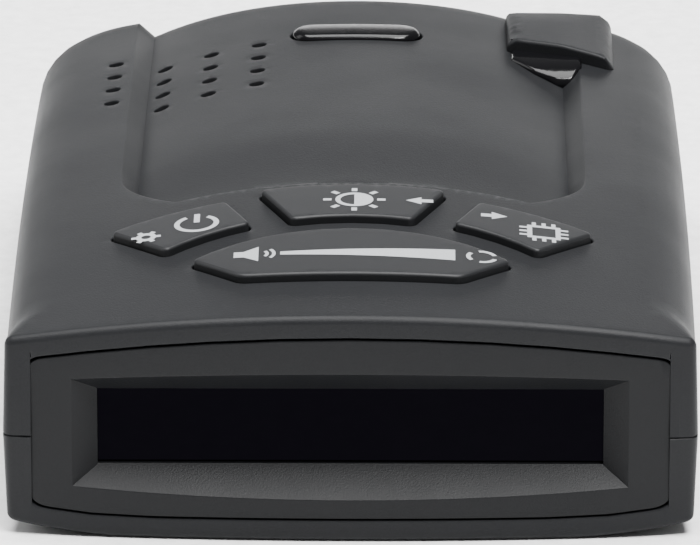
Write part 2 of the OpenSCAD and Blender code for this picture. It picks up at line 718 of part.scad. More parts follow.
module rf_board() {
    color([0.85, 0.85, 0.75]) block([horn_x - 8, 0.8, guide_z[1]], [horn_x + 8, 20, guide_z[1] + 0.9]);
}
module rf_shield() {
    z = guide_z[1] + 0.9;
    color([0.8, 0.8, 0.82]) difference() {
        block([horn_x - 7.2, 5, z], [horn_x + 7.2, 19, z + 3]);
        block([horn_x - 6.8, 5.4, z - 1], [horn_x + 6.8, 18.6, z + 2.6]);
    }
}
module rf_header() {
    color([0.1, 0.1, 0.1]) block([horn_x - 6, 1, board_top], [horn_x + 6, 3.3, guide_z[1]]);
}
module gps_patch_antenna() {
    color([0.75, 0.68, 0.55]) block([-8.5, -8.5, gps_z + 1.2], [8.5, 8.5, gps_z + 5.2]);
}
module gps_board() {
    color([0.1, 0.35, 0.2]) difference() {
        block([-12, -10.8, gps_z], [12, 10.8, gps_z + 1.2]);
        for (p = gps_stakes) rod(p, 0.9, 10, 20);
    }
}

// --- Speaker ---------------------------------------------------------------------------------
module speaker_frame() {
    color([0.15, 0.15, 0.15]) translate([speaker_at.x, speaker_at.y, 0]) rotate_extrude()
        polygon([[5.2, 15.2], [7, 15.2], [11, 17.6], [11.5, 17.6], [11.5, speaker_top],
            [10.4, speaker_top], [10.4, 18.3], [6.4, 16.1], [5.2, 16.1]]);
}
module speaker_cone() {
    color([0.25, 0.25, 0.25]) translate([speaker_at.x, speaker_at.y, 0]) rotate_extrude()
        polygon([[0, 17.2], [3.2, 16.6], [9.6, 18.9], [10.4, 18.9], [10.4, speaker_top], [9.4, speaker_top],
            [3.3, 17], [0, 17.6]]);
}
module speaker_magnet() {
    color([0.4, 0.4, 0.42]) rod(speaker_at, 5.2, 12.2, 16.1);
}
module speaker_gasket() {
    color([0.05, 0.05, 0.05]) tube(speaker_at, speaker_r, 9.8, speaker_top, speaker_top + 0.5);
}
module speaker_mesh() {
    color([0.1, 0.1, 0.1]) rod(speaker_at, speaker_r - 0.1, speaker_top + 0.5, speaker_top + 0.7);
}

// --- Connectors ------------------------------------------------------------------------------
module along_x(y, z, r, x0, x1) {
    translate([x0, y, z]) rotate([0, 90, 0]) cylinder(r = r, h = x1 - x0);
}
module dc_jack() {
    color([0.07, 0.07, 0.07]) difference() {
        union() {
            block([25, jack_y - 3.4, 3.2], [32.3, jack_y + 3.4, board_z]);
            along_x(jack_y, jack_z, snout_r, 30, 34.9);
        }
        along_x(jack_y, jack_z, jack_r, jack_floor_x, 40);
        along_x(jack_y, jack_z, pin_collar_r, jack_floor_x - 1, 40);
    }
}
module dc_jack_pin() {
    color([0.8, 0.78, 0.6]) {
        along_x(jack_y, jack_z, jack_pin_r, jack_floor_x, 34);
        along_x(jack_y, jack_z, pin_collar_r, jack_floor_x - 1, jack_floor_x);
    }
}
module usb_port() {
    color([0.7, 0.7, 0.72]) difference() {
        block([28.2, usb_y - 3.9, 5.6], [34.6, usb_y + 3.9, board_z]);
        block([29, usb_y - 3.4, 6.1], [36, usb_y + 3.4, 7.9]);
    }
    color([0.1, 0.1, 0.1]) block([28.6, usb_y - 2.4, 6.7], [33.6, usb_y + 2.4, 7.3]);
}

// --- Fasteners and label ---------------------------------------------------------------------
module case_screws() {
    color([0.3, 0.3, 0.32]) for (p = post_places) difference() {
        union() {
            rod(p, screw_head_r, screw_seat_z - screw_head_h, screw_seat_z);
            rod(p, screw_r, screw_seat_z - 0.5, screw_end_z);
        }
        for (t = [0, 90]) translate([p.x, p.y, 0]) rotate(t)
            block([-1.1, -0.25, 3], [1.1, 0.25, screw_seat_z - 0.6]);
    }
}
module board_screws() {
    color([0.75, 0.75, 0.77]) for (p = standoff_places) {
        rod(p, 1.9, board_top, board_top + 1.2);
        rod(p, 0.9, 4.4, board_top + 0.5);
    }
}
module base_label() {
    color([0.75, 0.76, 0.78])
        block([-label.x / 2, label_y - label.y / 2, 0.1], [label.x / 2, label_y + label.y / 2, label_top]);
}

upper_case();
lower_case();
display_bezel();
display_window();
display_module();
display_holder();
display_flex();
power_key();
brightness_key();
mode_key();
volume_key();
power_switch_stem();
brightness_switch_stem();
mode_switch_stem();
volume_switch_stem();
key_switch_bodies();
key_board();
key_flex();
release_button();
bracket_latch();
release_spring();
bracket_guide();
rear_laser_lens();
rear_laser_sensor();
front_laser_lens();
front_laser_sensor();
main_board();
processor_chip();
support_chips();
capacitors();
crystal();
backup_battery();
horn_antenna();
rf_board();
rf_shield();
rf_header();
gps_patch_antenna();
gps_board();
speaker_frame();
speaker_cone();
speaker_magnet();
speaker_gasket();
speaker_mesh();
dc_jack();
dc_jack_pin();
usb_port();
case_screws();
board_screws();
base_label();
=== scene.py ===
"""The radar detector's looks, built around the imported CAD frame.

Shapes are worked out in millimetres in the frame's own axes, and turned into metres when a mesh is made.
"""

import json
from functools import lru_cache
from math import acos, atan2, cos, hypot, pi, radians, sin, sqrt, tan

import bmesh
import bpy
import numpy as np
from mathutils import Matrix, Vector
from mathutils.geometry import delaunay_2d_cdt


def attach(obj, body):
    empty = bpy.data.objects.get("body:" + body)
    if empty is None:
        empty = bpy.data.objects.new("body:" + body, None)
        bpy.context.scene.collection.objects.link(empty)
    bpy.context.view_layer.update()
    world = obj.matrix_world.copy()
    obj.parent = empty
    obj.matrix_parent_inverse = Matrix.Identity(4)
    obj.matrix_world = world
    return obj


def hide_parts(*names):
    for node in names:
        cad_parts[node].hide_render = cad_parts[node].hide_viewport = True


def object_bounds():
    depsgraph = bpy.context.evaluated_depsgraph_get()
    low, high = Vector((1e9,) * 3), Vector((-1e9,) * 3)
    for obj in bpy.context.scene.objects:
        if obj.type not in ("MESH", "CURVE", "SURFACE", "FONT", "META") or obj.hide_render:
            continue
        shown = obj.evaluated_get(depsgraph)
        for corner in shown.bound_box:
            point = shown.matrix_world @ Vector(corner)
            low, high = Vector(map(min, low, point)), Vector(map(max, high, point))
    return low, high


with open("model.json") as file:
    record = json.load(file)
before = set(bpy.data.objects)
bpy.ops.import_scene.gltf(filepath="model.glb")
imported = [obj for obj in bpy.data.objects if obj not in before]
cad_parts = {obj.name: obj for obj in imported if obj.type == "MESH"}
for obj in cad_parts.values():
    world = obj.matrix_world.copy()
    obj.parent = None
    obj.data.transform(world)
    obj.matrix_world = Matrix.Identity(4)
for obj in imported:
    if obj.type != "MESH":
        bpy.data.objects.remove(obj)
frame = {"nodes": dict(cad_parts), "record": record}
cad_low, cad_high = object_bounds()

MM = 0.001

# --- Driving dimensions, as in the CAD --------------------------------------------------------------
CASE_HW = round(cad_high.x / MM, 1)
FRONT_Y = round(cad_low.y / MM)
REAR_Y = -FRONT_Y
CROWN_Z = 25.8
CROWN_Y = 8
CROWN_R = 900
PART_Z = 10.6
DRAFT = 0.03
SHOULDER_R = 4.5
FRONT_CORNER_R = 1.2
RIM_R = 0.8
REAR_CORNER_R = 10
LOWER_EDGE_R = 2.4
FRONT_BULGE_R = 316
REAR_BULGE_R = 600
FRONT_CORNER_Y = FRONT_Y + CASE_HW ** 2 / (2 * FRONT_BULGE_R)
PANEL_HW = 24.2
PANEL_WALL = 1.7
FRONT_LEDGE = 0.35
PANEL_RISE = 0.5
PANEL_ARC_R = 49
PANEL_ARC_Y = -14.4 - PANEL_ARC_R
PANEL_FRONT = -14.05
KEY_ARC_Y = -51.9
KEY_GAP = 0.25
KEY_PROUD = 0.8
RIM_W = 2.2
WINDOW = (51, 8)
RECESS = (59.2, 13.8)
RECESS_DEPTH = 3.6
WINDOW_Z = 11.1
PILL = (14, 4.6)
PILL_Y = 34.5
HOOD_X = (16.5, 28.2)
SLOT_W, SLOT_H, SLOT_Z = 20, 2.6, 17.6
FRONT_LENS = ((15, 24), (11.7, 16.1))
JACK_Y, JACK_Z, SNOUT_R = -8.5, 5.75, 2.6
USB_Y = -20
HOLE_COLUMNS = ((-26.2, 24.4), (-20.85, 24.7), (-15.8, 24.8), (-10.6, 25.2))
HOLE_PITCH = 4.8
HOLE_R = 0.8
# Radius of the rolled edge round the keys' and the button's openings, and round a speaker hole
BUTTON_LIP_R, HOLE_LIP_R = 0.16, 0.12
# Half width of the recess where it meets the bezel's face, and half the size of the pocket behind the window
RECESS_EDGE_X = 27.83
POCKET = (27, 5.5)
# How far a printed mark reaches above and below the key's surface
INK = 0.02
POSTS = ((30.3, -34), (-30.3, -34), (27.5, 41), (-27.5, 41))
LABEL = (-20.2, -12.2, 20.2, 14.2)


# --- Surfaces ---------------------------------------------------------------------------------------
def smooth(v):
    t = min(1, max(0, v))
    return t * t * (3 - 2 * t)


def spine(y):
    return CROWN_Z - (y - CROWN_Y) ** 2 / (2 * CROWN_R)


def crown(x, y):
    along = min(1, max(0, (y - FRONT_Y) / (REAR_Y - FRONT_Y)))
    return spine(y) - (1 / 380 + (1 / 280 - 1 / 380) * along) * x * x


def panel(x, y):
    """Height of the dome panel, without the roll at its rear edge."""
    r = hypot(x, y - PANEL_ARC_Y) - PANEL_ARC_R
    lift = -0.15 + (PANEL_RISE + 0.15) * smooth(r / 16)
    return spine(y) + lift - 0.00627 * x * x - 3.78e-6 * x ** 4


def belly(x):
    return max(0, 0.0075 * max(0, abs(x) - 20.5) ** 2 - 0.05)


def key_top(x, y):
    return spine(y) + KEY_PROUD - 0.00285 * x * x


def between(v, table):
    """The value at v of a line through (v, value) points, level beyond its ends."""
    return float(np.interp(v, [a for a, b in table], [b for a, b in table]))


def hood_top(x, y):
    across = between(x, ((HOOD_X[0], 24.7), (17.3, 25.45), (22.4, 25.3), (27.1, 24.5), (28.2, 23)))
    along = between(y, ((30, 26), (36, 26), (41, 25.6), (45.6, 24.85), (47.4, 23), (48.2, 21)))
    blend = max(0, 0.6 - abs(across - along)) / 0.6
    return min(across, along) - blend ** 2 * 0.6 / 4


def lens_top(x, y):
    return between(y, ((27.2, 22.4), (27.9, 23.2), (28.9, 23.75), (30, 24), (31.4, 24.15), (34, 24.2)))


# --- Outlines, counter-clockwise --------------------------------------------------------------------
def normals(loop):
    """Inward directions, long enough at a corner that both sides move by one."""
    out = []
    for i, b in enumerate(loop):
        a, c = loop[i - 1], loop[(i + 1) % len(loop)]
        u, v = (np.array(b) - a), (np.array(c) - b)
        m, n = (np.array((-w[1], w[0])) / hypot(*w) for w in (u, v))
        out.append((m + n) / (1 + m @ n))
    return out


def inset(loop, d):
    return [tuple(np.array(p) + d * n) for p, n in zip(loop, normals(loop))]


def arc(centre, r, start, end, count):
    angles = [radians(start + (end - start) * i / count) for i in range(count + 1)]
    return [(centre[0] + r * cos(a), centre[1] + r * sin(a)) for a in angles]


def corner(a, b, c, r, count):
    u, v = (np.array(a) - b), (np.array(c) - b)
    u, v = u / hypot(*u), v / hypot(*v)
    half = acos(max(-1, min(1, u @ v))) / 2
    mid = np.array(b) + (u + v) / hypot(*(u + v)) * r / sin(half)
    start, end = (np.array(b) + w * r / tan(half) - mid for w in (u, v))
    a0, a1 = atan2(start[1], start[0]), atan2(end[1], end[0])
    turn = (a1 - a0 + pi) % (2 * pi) - pi
    angles = [a0 + turn * i / count for i in range(count + 1)]
    return [(mid[0] + r * cos(t), mid[1] + r * sin(t)) for t in angles]


def rounded(points, radii, count=6):
    out = []
    for i, p in enumerate(points):
        nearby = points[i - 1], p, points[(i + 1) % len(points)]
        out += corner(*nearby, radii[i], count) if radii[i] else [p]
    return out


def dense(loop, step, closed=True):
    """The same outline with no side longer than step."""
    out = []
    ends = loop[1:] + loop[:1] if closed else loop[1:]
    for a, b in zip(loop, ends):
        n = max(1, round(hypot(b[0] - a[0], b[1] - a[1]) / step))
        out += [(a[0] + (b[0] - a[0]) * i / n, a[1] + (b[1] - a[1]) * i / n) for i in range(n)]
    return out if closed else out + [loop[-1]]


def mirrored(points):
    return [(-x, y) for x, y in reversed(points)]


def box_loop(x0, y0, x1, y1, r=0.0, step=1.5):
    loop = [(x0, y0), (x1, y0), (x1, y1), (x0, y1)]
    return dense(rounded(loop, [r] * 4, 4) if r else loop, step)


def circle(centre, r, count=24):
    return arc(centre, r, 0, 360 * (count - 1) / count, count - 1)


def side_x(y):
    return CASE_HW - 0.45 * ((y - 5) / 55) ** 2


def plan_outline():
    """Plan of the case at the parting line, with points where the panel's walls leave at the rear."""
    front = [(x, FRONT_Y + x * x / (2 * FRONT_BULGE_R)) for x in range(0, 33, 2)]
    sides = [(side_x(y), y) for y in range(-46, 40, 2)]
    rear_x = [PANEL_HW + 0.28, PANEL_HW + 0.1, PANEL_HW, PANEL_HW - PANEL_WALL] + list(range(21, -1, -1))
    rear = [(x, REAR_Y - x * x / (2 * REAR_BULGE_R)) for x in rear_x]
    front_corner = corner(front[-1], (side_x(FRONT_CORNER_Y), FRONT_CORNER_Y), sides[0], FRONT_CORNER_R, 6)
    rear_corner = corner(sides[-1], (side_x(REAR_Y), REAR_Y - 0.9), rear[3], REAR_CORNER_R, 18)
    half = front + front_corner + sides + rear_corner + rear
    return half + mirrored(half[1:-1])


def key_outline(name):
    mode = (arc((0, KEY_ARC_Y), 26.1, 67.3, 43.6, 4) + arc((0, PANEL_ARC_Y), 44.4, 55.5, 73.1, 4))
    ends = [0.9, 0, 0, 0, 0.9] * 2
    if name in ("mode", "power"):
        return dense(rounded(mode if name == "mode" else mirrored(mode), ends), 0.9)
    if name == "brightness":
        points = arc((0, KEY_ARC_Y), 25.4, 104.4, 75.6, 4) + arc((0, PANEL_ARC_Y), 46.3, 77.55, 102.45, 4)
        return dense(rounded(points, ends), 0.9)
    points = [(-11.2, -42.2), (11.2, -42.2)] + arc((0, KEY_ARC_Y), 22.3, 42.1, 137.9, 12)
    return dense(rounded(points, [2, 2, 0.9] + [0] * 11 + [0.9]), 0.9)


def pill_outline(grow):
    r, s = PILL[1] / 2 + grow, (PILL[0] - PILL[1]) / 2
    return dense(arc((s, PILL_Y), r, -90, 90, 12) + arc((-s, PILL_Y), r, 90, 270, 12), 0.9)


def foot_hw(y):
    return PANEL_HW - PANEL_WALL - 4.2 * max(0, (-6 - y) / 8.05) ** 2


def panel_foot():
    """Foot of the panel's wall, from its right rear end round the front to its left rear end."""
    rows = list(range(46, -6, -2)) + [-6 - 0.7 * i for i in range(11)] + [PANEL_FRONT]
    side = []
    for row in rows:
        x = foot_hw(row)
        sag = sqrt(PANEL_ARC_R ** 2 - x * x) - PANEL_ARC_R
        side.append((x, row + sag * min(1, max(0, (20 - row) / 34))))
    xs = [side[-1][0] * (1 - i / 30) for i in range(1, 30)]
    front = [(x, PANEL_FRONT + sqrt(PANEL_ARC_R ** 2 - x * x) - PANEL_ARC_R) for x in xs]
    return side + front + [(0, PANEL_FRONT)] + mirrored(front) + mirrored(side)


def ledge(y):
    return FRONT_LEDGE + (PANEL_WALL - FRONT_LEDGE) * smooth((y + 17) / 9)


def spread(line, extra):
    """The panel's foot moved out to the top of its wall, and extra further."""
    out = []
    for i, p in enumerate(line):
        a, c = line[max(i - 1, 0)], line[min(i + 1, len(line) - 1)]
        way = np.array((c[1] - a[1], -(c[0] - a[0])))
        move = way / hypot(*way) * -(ledge(p[1]) + extra)
        out.append((p[0] + move[0], p[1] + move[1]))
    return out


# --- Meshes -----------------------------------------------------------------------------------------
def inside(points, loop):
    hit = np.zeros(len(points), bool)
    x, y = points[:, 0], points[:, 1]
    for (ax, ay), (bx, by) in zip(loop, loop[1:] + loop[:1]):
        if ay != by:
            hit ^= ((ay > y) != (by > y)) & (x < (bx - ax) * (y - ay) / (by - ay) + ax)
    return hit


class Skin:
    """Points and faces of one piece, in millimetres. Rows that meet are welded when the mesh is made."""

    def __init__(self):
        self.points, self.faces = [], []

    def strip(self, first, second, closed=True):
        """Quads between two rows of equal length."""
        assert len(first) == len(second)
        n, start = len(first), len(self.points)
        self.points += list(first) + list(second)
        for i in range(n if closed else n - 1):
            a, b = start + i, start + (i + 1) % n
            self.faces.append((a, b, b + n, a + n))

    def strips(self, rows, closed=True):
        for first, second in zip(rows, rows[1:]):
            self.strip(first, second, closed)

    def sheet(self, outer, holes=(), lines=(), lift=None, step=1.5, axes=(0, 1), bare=None):
        """A sheet within outer and outside holes, seen along the axis left out.

        lift places its inner points, and bare is a pair of loops with no inner points between them.
        """
        def flat(row):
            return [(p[axes[0]], p[axes[1]]) for p in row]
        points, edges = [], []
        for row, closed in [(outer, True)] + [(h, True) for h in holes] + [(k, False) for k in lines]:
            start, n = len(points), len(row)
            points += [tuple(p) for p in row]
            edges += [(start + i, start + (i + 1) % n) for i in range(n if closed else n - 1)]
        rim, gaps = flat(outer), [flat(h) for h in holes]
        if lift:
            low, high = np.min(rim, axis=0), np.max(rim, axis=0)
            grid = np.array([(u + step / 2 * (j % 2), v)
                             for j, v in enumerate(np.arange(low[1], high[1], step * 0.87))
                             for u in np.arange(low[0], high[0], step)])
            grid = grid[inside(grid, rim)]
            for gap in gaps:
                grid = grid[~inside(grid, gap)]
            if bare:
                grid = grid[inside(grid, flat(bare[0])) | ~inside(grid, flat(bare[1]))]
            fixed = np.array(flat(points))
            clear = [((fixed - g) ** 2).sum(1).min() > (step * 0.55) ** 2 for g in grid]
            points += [tuple(lift(u, v)) for u, v in grid[clear]]
        made = delaunay_2d_cdt([Vector(p) for p in flat(points)], edges, [], 0, 1e-6, True)
        where = [points[ids[0]] if ids else lift(v.x, v.y) for v, ids in zip(made[0], made[3])]
        start = len(self.points)
        self.points += where
        corners = np.array([[made[0][k] for k in f[:3]] for f in made[2]])
        middles = corners.mean(axis=1)
        sides = corners[:, 1:] - corners[:, :1]
        areas = np.abs(sides[:, 0, 0] * sides[:, 1, 1] - sides[:, 0, 1] * sides[:, 1, 0]) / 2
        keep = inside(middles, rim) & (areas > 1e-5)
        for gap in gaps:
            keep &= ~inside(middles, gap)
        self.faces += [tuple(start + k for k in f) for f, kept in zip(made[2], keep) if kept]

    def make(self, name, body, slot, *nodes, sharp=32):
        """The mesh object, welded, facing outwards and smooth up to the sharp angle."""
        mesh = bpy.data.meshes.new(name)
        mesh.from_pydata([tuple(c * MM for c in p) for p in self.points], [], self.faces)
        work = bmesh.new()
        work.from_mesh(mesh)
        bmesh.ops.remove_doubles(work, verts=work.verts, dist=2e-6)
        bmesh.ops.dissolve_degenerate(work, edges=work.edges, dist=1e-7)
        bmesh.ops.recalc_face_normals(work, faces=work.faces)
        work.to_mesh(mesh)
        work.free()
        mesh.polygons.foreach_set("use_smooth", [True] * len(mesh.polygons))
        mesh.set_sharp_from_angle(angle=radians(sharp))
        piece = bpy.data.objects.new(name, mesh)
        bpy.context.scene.collection.objects.link(piece)
        weighted = piece.modifiers.new("normals", "WEIGHTED_NORMAL")
        weighted.keep_sharp = True
        mesh.materials.append(MATERIALS[slot])
        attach(piece, body)
        if nodes:
            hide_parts(*nodes)
        return piece


def at(loop, height):
    """A plan outline raised to a height, which is a number or a function of x and y."""
    return [(x, y, height(x, y) if callable(height) else height) for x, y in loop]


def lip(loop, height, r):
    """Rows that roll an edge of radius r over from a surface into a wall along loop."""
    rows = []
    for q in (90, 60, 30, 0):
        side = inset(loop, -r * (1 - cos(radians(q))))
        rows.append([(x, y, height(x, y) - r * (1 - sin(radians(q)))) for x, y in side])
    return rows


def cap(loop, top, edge, lower, steps=5, fill=1.0):
    """A closed body: a top sheet, a rolled edge, then rows of (inset, height) down to a flat sheet."""
    skin = Skin()
    rows = []
    for i in range(steps + 1):
        q = radians(90 - 90 * i / steps)
        side = inset(loop, edge * (1 - cos(q)))
        rows.append([(x, y, top(x, y) - edge * (1 - sin(q))) for x, y in side])
    rows += [at(inset(loop, d), z) for d, z in lower]
    skin.sheet(rows[0], lift=lambda x, y: (x, y, top(x, y)), step=fill)
    skin.strips(rows)
    skin.sheet(rows[-1])
    return skin


# --- Materials --------------------------------------------------------------------------------------
def link(tree, source, output, target, value):
    tree.links.new(source.outputs[output], target.inputs[value])


def finish(name, colour, roughness, grain=0.0, grain_size=0.3, metallic=0.0, shade=0.12,
           coat=0.0, brushed=False, weave=False, specular=0.5, tint=None):
    """A finish with its own grain, slight shading of its colour and uneven gloss. Sizes are in mm."""
    made = bpy.data.materials.new(name)
    made.use_nodes = True
    tree = made.node_tree
    shader = tree.nodes["Principled BSDF"]
    shader.inputs["Metallic"].default_value = metallic
    shader.inputs["Specular IOR Level"].default_value = specular
    shader.inputs["Coat Weight"].default_value = coat
    shader.inputs["Coat Roughness"].default_value = 0.04
    if tint:
        shader.inputs["Specular Tint"].default_value = (*tint, 1)
    place = tree.nodes.new("ShaderNodeTexCoord")
    stretch = tree.nodes.new("ShaderNodeMapping")
    stretch.inputs["Scale"].default_value = (1, 12, 1) if brushed else (1, 1, 1)
    link(tree, place, "Object", stretch, "Vector")

    broad = tree.nodes.new("ShaderNodeTexNoise")
    broad.inputs["Scale"].default_value = 55
    broad.inputs["Detail"].default_value = 4
    link(tree, place, "Object", broad, "Vector")
    ramp = tree.nodes.new("ShaderNodeValToRGB")
    ramp.color_ramp.elements[0].position = 0.3
    ramp.color_ramp.elements[1].position = 0.7
    ramp.color_ramp.elements[0].color = (*[c * (1 - shade) for c in colour], 1)
    ramp.color_ramp.elements[1].color = (*[c * (1 + shade) for c in colour], 1)
    link(tree, broad, "Fac", ramp, "Fac")

    fine = tree.nodes.new("ShaderNodeTexNoise")
    fine.inputs["Scale"].default_value = 1 / (grain_size * MM)
    fine.inputs["Detail"].default_value = 3
    fine.inputs["Roughness"].default_value = 0.6
    link(tree, stretch, "Vector", fine, "Vector")
    spread_out = tree.nodes.new("ShaderNodeMapRange")
    spread_out.inputs["From Min"].default_value = 0.3
    spread_out.inputs["From Max"].default_value = 0.7
    spread_out.inputs["To Min"].default_value = max(0.02, roughness * 0.9)
    spread_out.inputs["To Max"].default_value = min(1, roughness * 1.1)
    link(tree, broad, "Fac", spread_out, "Value")
    link(tree, spread_out, "Result", shader, "Roughness")

    speck = tree.nodes.new("ShaderNodeMix")
    speck.data_type = "RGBA"
    speck.blend_type = "MULTIPLY"
    speck.inputs["Factor"].default_value = min(1, 0.25 + grain)
    tone = tree.nodes.new("ShaderNodeMapRange")
    tone.inputs["From Min"].default_value = 0.3
    tone.inputs["From Max"].default_value = 0.7
    tone.inputs["To Min"].default_value = 0.72
    tone.inputs["To Max"].default_value = 1.25
    link(tree, fine, "Fac", tone, "Value")
    tree.links.new(ramp.outputs["Color"], speck.inputs[6])
    tree.links.new(tone.outputs["Result"], speck.inputs[7])
    tree.links.new(speck.outputs[2], shader.inputs["Base Color"])

    if grain:
        bump = tree.nodes.new("ShaderNodeBump")
        bump.inputs["Strength"].default_value = grain
        bump.inputs["Distance"].default_value = grain_size * MM * 0.4
        link(tree, fine, "Fac", bump, "Height")
        if weave:
            threads = tree.nodes.new("ShaderNodeTexChecker")
            threads.inputs["Scale"].default_value = 1 / (grain_size * MM)
            link(tree, place, "Object", threads, "Vector")
            link(tree, threads, "Fac", bump, "Height")
        link(tree, bump, "Normal", shader, "Normal")
    return made


def make_materials():
    black = (0.020, 0.0205, 0.022)
    return {
        "case_plastic": finish("case_plastic", (0.009, 0.0094, 0.0104), 0.5, 0.3, 0.22, shade=0.05,
                               specular=0.13),
        # Painted shade: the bezel is the case's own plastic, and its darker colour here stands in for the
        # shade on its front-facing faces
        "bezel_plastic": finish("bezel_plastic", (0.006, 0.0063, 0.007), 0.42, 0.3, 0.2, shade=0.06,
                                specular=0.13),
        "window_acrylic": finish("window_acrylic", (0.0006, 0.0006, 0.0007), 0.05, 0.0, 0.5, specular=0.02,
                                 tint=(0.72, 0.62, 1.0)),
        "key_plastic": finish("key_plastic", (0.011, 0.0114, 0.0124), 0.44, 0.12, 0.15, shade=0.04,
                              specular=0.18),
        "gloss_black": finish("gloss_black", (0.003, 0.003, 0.0035), 0.16, 0.02, 0.6, specular=0.2),
        "lens_tint": finish("lens_tint", (0.012, 0.002, 0.004), 0.1, 0.0, 0.5, specular=0.2),
        "holder_plastic": finish("holder_plastic", (0.72, 0.7, 0.64), 0.5, 0.15, 0.3),
        "inner_plastic": finish("inner_plastic", black, 0.5, 0.25, 0.25),
        "board_green": finish("board_green", (0.015, 0.09, 0.03), 0.32, 0.2, 0.4, coat=0.3),
        "board_black": finish("board_black", (0.012, 0.012, 0.013), 0.35, 0.15, 0.4, coat=0.2),
        "board_rf": finish("board_rf", (0.55, 0.52, 0.42), 0.6, 0.3, 0.2, weave=True),
        "chip_epoxy": finish("chip_epoxy", (0.012, 0.012, 0.012), 0.55, 0.3, 0.12),
        "capacitor_can": finish("capacitor_can", (0.62, 0.62, 0.64), 0.3, 0.15, 0.2, metallic=1,
                                brushed=True),
        "plated_steel": finish("plated_steel", (0.66, 0.65, 0.62), 0.32, 0.2, 0.15, metallic=1,
                               brushed=True),
        "cast_zinc": finish("cast_zinc", (0.5, 0.5, 0.51), 0.48, 0.4, 0.4, metallic=1),
        "ceramic": finish("ceramic", (0.52, 0.42, 0.3), 0.5, 0.25, 0.2),
        "flex_film": finish("flex_film", (0.42, 0.17, 0.025), 0.3, 0.1, 0.5, coat=0.4),
        "spring_steel": finish("spring_steel", (0.6, 0.6, 0.61), 0.25, 0.1, 0.1, metallic=1),
        "cone_film": finish("cone_film", (0.03, 0.03, 0.03), 0.4, 0.3, 0.2),
        "magnet_iron": finish("magnet_iron", (0.25, 0.25, 0.26), 0.35, 0.2, 0.3, metallic=1),
        "foam": finish("foam", (0.012, 0.012, 0.012), 0.95, 0.9, 0.3),
        "mesh_cloth": finish("mesh_cloth", (0.01, 0.01, 0.01), 0.9, 0.8, 0.25, weave=True),
        "contact_brass": finish("contact_brass", (0.8, 0.6, 0.28), 0.22, 0.08, 0.15, metallic=1),
        "screw_steel": finish("screw_steel", (0.05, 0.05, 0.055), 0.35, 0.2, 0.15, metallic=1),
        "label_film": finish("label_film", (0.3, 0.31, 0.32), 0.5, 0.08, 0.2, shade=0.03),
    }


# --- Camera, lights and floor -----------------------------------------------------------------------
def make_camera():
    """Level with the eye, in front and a little above, from about 0.8 m."""
    lens = bpy.data.cameras.new("camera")
    lens.lens = 410.8
    lens.sensor_width = 36
    lens.clip_end = 20
    camera = bpy.data.objects.new("camera", lens)
    bpy.context.scene.collection.objects.link(camera)
    camera.location = Vector((5.85, -798.69, 293.17)) * MM
    yaw, down = radians(-0.45), radians(19.5)
    ahead = Vector((sin(yaw) * cos(down), cos(yaw) * cos(down), -sin(down)))
    camera.rotation_mode = "QUATERNION"
    camera.rotation_quaternion = ahead.to_track_quat("-Z", "Y")
    bpy.context.scene.camera = camera


def soft_light(name, place, size, watts):
    lamp = bpy.data.lights.new(name, "AREA")
    lamp.shape = "RECTANGLE"
    lamp.size, lamp.size_y = size
    lamp.energy = watts
    light = bpy.data.objects.new(name, lamp)
    bpy.context.scene.collection.objects.link(light)
    light.location = place
    light.rotation_mode = "QUATERNION"
    light.rotation_quaternion = (Vector((0, 0, 0.015)) - light.location).to_track_quat("-Z", "Y")


def make_studio():
    soft_light("top_softbox", (0, 0.0, 0.75), (0.7, 0.5), 18)
    soft_light("back_softbox", (0.05, 1.1, 0.22), (1.4, 0.22), 3)
    soft_light("left_softbox", (-0.6, 0.1, 0.35), (0.3, 0.5), 1.5)
    soft_light("front_key", (0.16, -0.3, 0.62), (0.25, 0.15), 7)
    world = bpy.data.worlds.new("studio")
    world.use_nodes = True
    sky = world.node_tree.nodes["Background"]
    sky.inputs["Color"].default_value = (1, 1, 1, 1)
    sky.inputs["Strength"].default_value = 0.2
    bpy.context.scene.world = world

    mesh = bpy.data.meshes.new("floor")
    half, top = 3.0, -0.0001
    mesh.from_pydata([(-half, -half, top), (half, -half, top), (half, half, top), (-half, half, top)],
                     [], [(0, 1, 2, 3)])
    floor = bpy.data.objects.new("floor", mesh)
    bpy.context.scene.collection.objects.link(floor)
    mesh.materials.append(finish("floor_paper", (0.93, 0.93, 0.93), 0.9, 0.05, 2, shade=0.01))


# --- Upper case -------------------------------------------------------------------------------------
def edge_radius(y):
    return RIM_R + (SHOULDER_R - RIM_R) * smooth((y - FRONT_CORNER_Y - 0.5) / 8)


def deck(x, y):
    """Height of the case's top before its outer edge rolls over: deck, panel wall or panel."""
    if y < 20 or abs(x) >= PANEL_HW:
        return crown(x, y)
    foot = PANEL_HW - PANEL_WALL
    if abs(x) <= foot:
        return panel(x, y)
    part = (abs(x) - foot) / PANEL_WALL
    return panel(x, y) * (1 - part) + crown(x, y) * part


@lru_cache
def case_ways():
    """The plan outline and the way each of its points moves inwards."""
    loop = plan_outline()
    ways = normals(loop)
    for i, (x, y) in enumerate(loop):
        if y > REAR_Y - 1.5 and abs(x) < PANEL_HW + 0.5:
            ways[i] = np.array((0, -1))
    return loop, ways


def shoulder_row(q):
    """One row of the rolled top edge, q degrees up from the wall."""
    row = []
    for p, way in zip(*case_ways()):
        r = edge_radius(p[1])
        lean = DRAFT * (crown(*p) - r - PART_Z) + r * (1 - cos(radians(q)))
        x, y = np.array(p) + way * lean
        row.append((x, y, deck(x, y) - r * (1 - sin(radians(q)))))
    return row


def wall_row(z, inwards=0.0):
    lean = DRAFT * abs(z - PART_Z) + inwards
    return [(*(np.array(p) + way * lean), z) for p, way in zip(*case_ways())]


def span_of(row, test):
    """The stretch of a closed row whose plan points pass the test, in order."""
    picked = [test(*p) for p in plan_outline()]
    n = len(row)
    first = next(i for i in range(n) if picked[i] and not picked[i - 1])
    out = []
    while picked[first % n] and len(out) < n:
        out.append(row[first % n])
        first += 1
    return out


